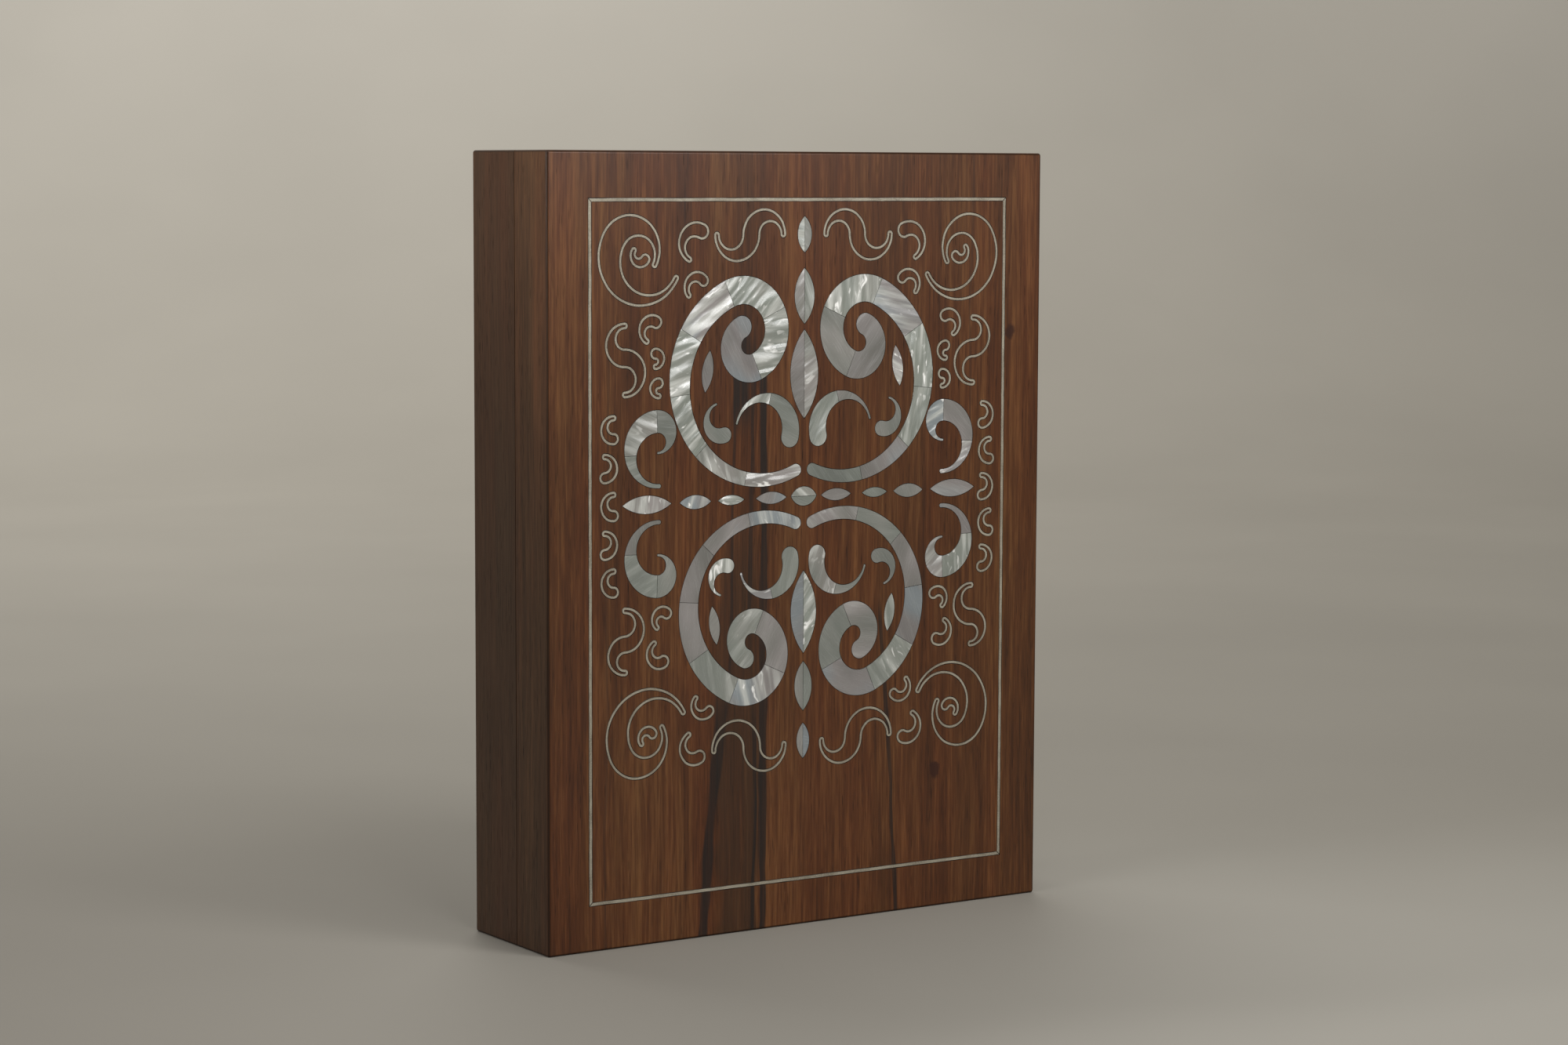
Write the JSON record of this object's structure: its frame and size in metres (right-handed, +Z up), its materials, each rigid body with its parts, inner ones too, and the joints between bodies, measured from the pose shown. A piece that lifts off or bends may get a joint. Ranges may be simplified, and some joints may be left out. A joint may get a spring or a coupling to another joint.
{
  "type": "inlaid book box",
  "caption": "Upright walnut book box with a side-hinged lid, its front inlaid with mother-of-pearl scrolls and metal wire, lined inside to hold a large book.",
  "frame": {"origin": "on the resting plane, midway across the width and the depth of the closed box", "axes": "+X to the hinge side, seen from the front; +Y from the inlaid front to the back; +Z up as the box stands"},
  "size_m": [0.2151, 0.053, 0.28],
  "materials": {
    "walnut": "satin oiled walnut with dark streaks",
    "spline_wood": "bare hardwood",
    "velvet": "short pile",
    "magnet": "plated",
    "hinge_brass": "satin",
    "screw_brass": "polished",
    "inlay_wire": "hammered pale metal",
    "pearl": "polished nacre"
  },
  "bodies": {
    "base": {"base_back_board": "walnut", "base_top_rail": "walnut", "base_bottom_rail": "walnut", "base_fore_rail": "walnut", "base_hinge_rail": "walnut", "base_corner_splines": "spline_wood", "base_floor_pad": "velvet", "base_top_liner": "velvet", "base_bottom_liner": "velvet", "base_fore_liner": "velvet", "base_hinge_liner": "velvet", "base_magnets": "magnet", "lower_hinge_base_leaf": "hinge_brass", "upper_hinge_base_leaf": "hinge_brass", "lower_hinge_pin": "hinge_brass", "upper_hinge_pin": "hinge_brass", "lower_hinge_base_screws": "screw_brass", "upper_hinge_base_screws": "screw_brass"},
    "lid": {"lid_front_board": "walnut", "lid_top_rail": "walnut", "lid_bottom_rail": "walnut", "lid_fore_rail": "walnut", "lid_hinge_rail": "walnut", "lid_corner_splines": "spline_wood", "lid_pad": "velvet", "lid_top_liner": "velvet", "lid_bottom_liner": "velvet", "lid_fore_liner": "velvet", "lid_hinge_liner": "velvet", "lid_magnets": "magnet", "lower_hinge_lid_leaf": "hinge_brass", "upper_hinge_lid_leaf": "hinge_brass", "lower_hinge_lid_screws": "screw_brass", "upper_hinge_lid_screws": "screw_brass", "border_wire": "inlay_wire", "top_leaf_wires": "inlay_wire", "bottom_leaf_wires": "inlay_wire", "upper_corner_wires": "inlay_wire", "lower_corner_wires": "inlay_wire", "upper_side_wires": "inlay_wire", "lower_side_wires": "inlay_wire", "side_column_wires": "inlay_wire", "pearl_upper_scrolls": "pearl", "pearl_lower_scrolls": "pearl", "pearl_upper_leaves": "pearl", "pearl_lower_leaves": "pearl", "pearl_side_leaves": "pearl", "pearl_small_leaves": "pearl", "pearl_axis_buds": "pearl", "pearl_side_buds": "pearl"}
  },
  "joints": [
    {"name": "lid_hinge", "type": "hinge", "parent": "base", "child": "lid", "pos_m": [0.1069, -0.0039, 0.14], "axis": [0, 0, 1], "range_deg": [0, 180]}
  ]
}
